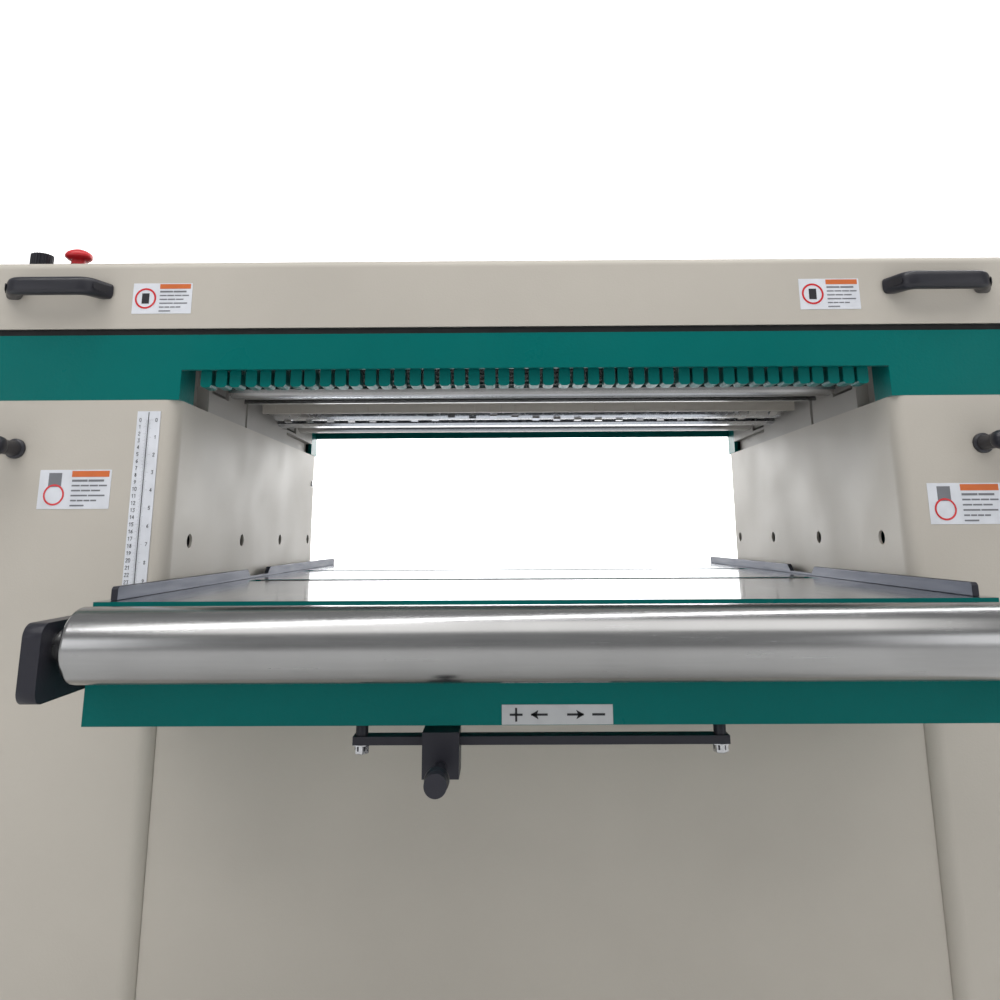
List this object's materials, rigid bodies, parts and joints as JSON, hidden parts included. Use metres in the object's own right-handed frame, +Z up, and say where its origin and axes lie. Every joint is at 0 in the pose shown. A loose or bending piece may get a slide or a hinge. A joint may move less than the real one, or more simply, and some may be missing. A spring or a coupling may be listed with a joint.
{
  "type": "wide thickness planer",
  "caption": "Wide industrial thickness planer: a lifting table between two columns, feed rollers, kickback fingers, a spiral cutterhead and a hinged hood with a dust outlet.",
  "frame": {"origin": "middle of the machine's footprint, on the floor", "axes": "+Z up, +Y is the feed direction from the infeed side to the outfeed side, +X to the right seen from the infeed side"},
  "size_m": [1.708, 1.472, 1.282],
  "materials": {
    "beige_paint": "satin, fine orange peel",
    "green_paint": "satin, hammered",
    "dark_paint": "satin",
    "polished_steel": "ground",
    "brushed_steel": "turned",
    "cast_iron": "machined",
    "dark_steel": "blued",
    "bronze": "turned",
    "rubber": "matte",
    "black_plastic": "satin",
    "red_plastic": "gloss",
    "green_plastic": "gloss",
    "white_plate": "printed",
    "tool_steel": "ground"
  },
  "bodies": {
    "frame": {"base_cabinet": "beige_paint", "left_column": "beige_paint", "right_column": "beige_paint", "head_frame": "green_paint", "head_castings": "cast_iron", "cutterhead_bearings": "cast_iron", "pressure_bar": "cast_iron", "guard_plate": "brushed_steel", "kickback_shaft": "brushed_steel", "main_motor": "green_paint", "drive_belts": "rubber", "feed_gearmotor": "green_paint", "feed_chain": "dark_steel", "lift_motor": "green_paint", "lift_chain": "dark_steel", "guide_collars": "bronze", "thickness_scale": "white_plate", "pull_handles": "black_plastic", "leveling_feet": "dark_paint", "cable_gland": "black_plastic", "hood_seal": "rubber", "hood_hinges": "brushed_steel"},
    "table": {"table": "green_paint", "table_posts": "polished_steel", "table_strips": "dark_steel", "roller_brackets": "dark_paint", "lever_guide_bar": "dark_paint", "scale_pointer": "red_plastic"},
    "front_roller": {"front_roller": "brushed_steel"},
    "rear_roller": {"rear_roller": "brushed_steel"},
    "bed_roller_blocks": {"bed_roller_blocks": "dark_paint"},
    "front_bed_roller": {"front_bed_roller": "polished_steel"},
    "rear_bed_roller": {"rear_bed_roller": "polished_steel"},
    "bed_roller_lever": {"bed_roller_lever": "dark_paint"},
    "screw_front_left": {"lead_screw_front_left": "polished_steel"},
    "screw_front_right": {"lead_screw_front_right": "polished_steel"},
    "screw_rear_left": {"lead_screw_rear_left": "polished_steel"},
    "screw_rear_right": {"lead_screw_rear_right": "polished_steel"},
    "cutterhead": {"cutterhead_drum": "brushed_steel", "cutter_inserts": "tool_steel", "cutterhead_pulley": "brushed_steel"},
    "motor_rotor": {"motor_pulley": "brushed_steel"},
    "infeed_blocks": {"infeed_bearing_blocks": "cast_iron"},
    "infeed_roller": {"infeed_roller": "brushed_steel", "infeed_sprocket": "brushed_steel"},
    "outfeed_blocks": {"outfeed_bearing_blocks": "cast_iron"},
    "outfeed_roller": {"outfeed_roller": "polished_steel", "outfeed_sprocket": "brushed_steel"},
    "feed_drive": {"feed_drive_sprocket": "brushed_steel"},
    "chip_breaker": {"chip_breaker": "beige_paint"},
    "kickback_fingers": {"kickback_fingers": "green_paint"},
    "hood": {"hood": "beige_paint", "hood_handles": "black_plastic", "control_panel": "black_plastic", "dust_port": "black_plastic"},
    "emergency_stop": {"emergency_stop": "red_plastic"},
    "speed_knob": {"speed_knob": "black_plastic"},
    "start_button": {"start_button": "green_plastic"},
    "left_door": {"left_door": "beige_paint"},
    "right_door": {"right_door": "beige_paint"}
  },
  "joints": [
    {"name": "table_lift", "type": "slide", "parent": "frame", "child": "table", "axis": [0, 0, 1], "range_m": [0, 0.28]},
    {"name": "front_roller_spin", "type": "hinge", "parent": "table", "child": "front_roller", "pos_m": [0.055, -0.696, 0.604], "axis": [1, 0, 0], "continuous": true},
    {"name": "rear_roller_spin", "type": "hinge", "parent": "table", "child": "rear_roller", "pos_m": [0.055, 0.696, 0.604], "axis": [1, 0, 0], "continuous": true},
    {"name": "bed_lever_slide", "type": "slide", "parent": "table", "child": "bed_roller_lever", "axis": [1, 0, 0], "range_m": [-0.055, 0.28]},
    {"name": "bed_roller_lift", "type": "slide", "parent": "table", "child": "bed_roller_blocks", "axis": [0, 0, 1], "range_m": [-0.0012, 0.0003]},
    {"name": "front_bed_roller_spin", "type": "hinge", "parent": "bed_roller_blocks", "child": "front_bed_roller", "pos_m": [0.055, -0.19, 0.6203], "axis": [1, 0, 0], "continuous": true},
    {"name": "rear_bed_roller_spin", "type": "hinge", "parent": "bed_roller_blocks", "child": "rear_bed_roller", "pos_m": [0.055, 0.19, 0.6203], "axis": [1, 0, 0], "continuous": true},
    {"name": "screw_front_left_turn", "type": "hinge", "parent": "frame", "child": "screw_front_left", "pos_m": [-0.325, -0.29, 0.07], "axis": [0, 0, 1], "range_deg": [-20, 12620]},
    {"name": "screw_front_right_turn", "type": "hinge", "parent": "frame", "child": "screw_front_right", "pos_m": [0.435, -0.29, 0.07], "axis": [0, 0, 1], "range_deg": [-20, 12620]},
    {"name": "screw_rear_left_turn", "type": "hinge", "parent": "frame", "child": "screw_rear_left", "pos_m": [-0.325, 0.29, 0.07], "axis": [0, 0, 1], "range_deg": [-20, 12620]},
    {"name": "screw_rear_right_turn", "type": "hinge", "parent": "frame", "child": "screw_rear_right", "pos_m": [0.435, 0.29, 0.07], "axis": [0, 0, 1], "range_deg": [-20, 12620]},
    {"name": "cutterhead_spin", "type": "hinge", "parent": "frame", "child": "cutterhead", "pos_m": [0.055, 0, 1.008], "axis": [1, 0, 0], "continuous": true},
    {"name": "motor_spin", "type": "hinge", "parent": "frame", "child": "motor_rotor", "pos_m": [-0.5, 0, 0.24], "axis": [1, 0, 0], "continuous": true},
    {"name": "infeed_float", "type": "slide", "parent": "frame", "child": "infeed_blocks", "axis": [0, 0, 1], "range_m": [0, 0.003], "stiffness_N_per_m": 20000, "springref_m": -0.01},
    {"name": "infeed_spin", "type": "hinge", "parent": "infeed_blocks", "child": "infeed_roller", "pos_m": [0.055, -0.269, 0.991], "axis": [1, 0, 0], "continuous": true},
    {"name": "outfeed_float", "type": "slide", "parent": "frame", "child": "outfeed_blocks", "axis": [0, 0, 1], "range_m": [0, 0.003], "stiffness_N_per_m": 20000, "springref_m": -0.01},
    {"name": "outfeed_spin", "type": "hinge", "parent": "outfeed_blocks", "child": "outfeed_roller", "pos_m": [0.055, 0.189, 0.991], "axis": [1, 0, 0], "continuous": true},
    {"name": "feed_drive_spin", "type": "hinge", "parent": "frame", "child": "feed_drive", "pos_m": [0.68, -0.04, 0.7], "axis": [1, 0, 0], "continuous": true},
    {"name": "chip_breaker_tilt", "type": "hinge", "parent": "frame", "child": "chip_breaker", "pos_m": [0.055, -0.096, 1.046], "axis": [1, 0, 0], "range_deg": [0, 5]},
    {"name": "finger_swing", "type": "hinge", "parent": "frame", "child": "kickback_fingers", "pos_m": [0.055, -0.411, 0.99], "axis": [1, 0, 0], "range_deg": [0, 40]},
    {"name": "hood_lid", "type": "hinge", "parent": "frame", "child": "hood", "pos_m": [0, 0.45, 1.023], "axis": [-1, 0, 0], "range_deg": [0, 75]},
    {"name": "stop_press", "type": "slide", "parent": "hood", "child": "emergency_stop", "axis": [0, 0, -1], "range_m": [0, 0.004], "stiffness_N_per_m": 400, "springref_m": -0.002},
    {"name": "start_press", "type": "slide", "parent": "hood", "child": "start_button", "axis": [0, 0, -1], "range_m": [0, 0.003], "stiffness_N_per_m": 300, "springref_m": -0.002},
    {"name": "speed_turn", "type": "hinge", "parent": "hood", "child": "speed_knob", "pos_m": [-0.738, -0.374, 1.132], "axis": [0, 0, 1], "range_deg": [-135, 135]},
    {"name": "left_door_swing", "type": "hinge", "parent": "frame", "child": "left_door", "pos_m": [-0.848, 0.441, 0.5], "axis": [0, 0, -1], "range_deg": [0, 110]},
    {"name": "right_door_swing", "type": "hinge", "parent": "frame", "child": "right_door", "pos_m": [0.848, 0.441, 0.5], "axis": [0, 0, 1], "range_deg": [0, 110]}
  ],
  "couplings": [
    {"joint": "bed_roller_lift", "follows": "bed_lever_slide", "ratio": -0.004},
    {"joint": "motor_spin", "follows": "cutterhead_spin", "ratio": 0.76471},
    {"joint": "outfeed_spin", "follows": "infeed_spin", "ratio": 1},
    {"joint": "feed_drive_spin", "follows": "infeed_spin", "ratio": 1.4286},
    {"joint": "screw_front_left_turn", "follows": "table_lift", "rad_per_m": 785.4},
    {"joint": "screw_front_right_turn", "follows": "table_lift", "rad_per_m": 785.4},
    {"joint": "screw_rear_left_turn", "follows": "table_lift", "rad_per_m": 785.4},
    {"joint": "screw_rear_right_turn", "follows": "table_lift", "rad_per_m": 785.4}
  ]
}
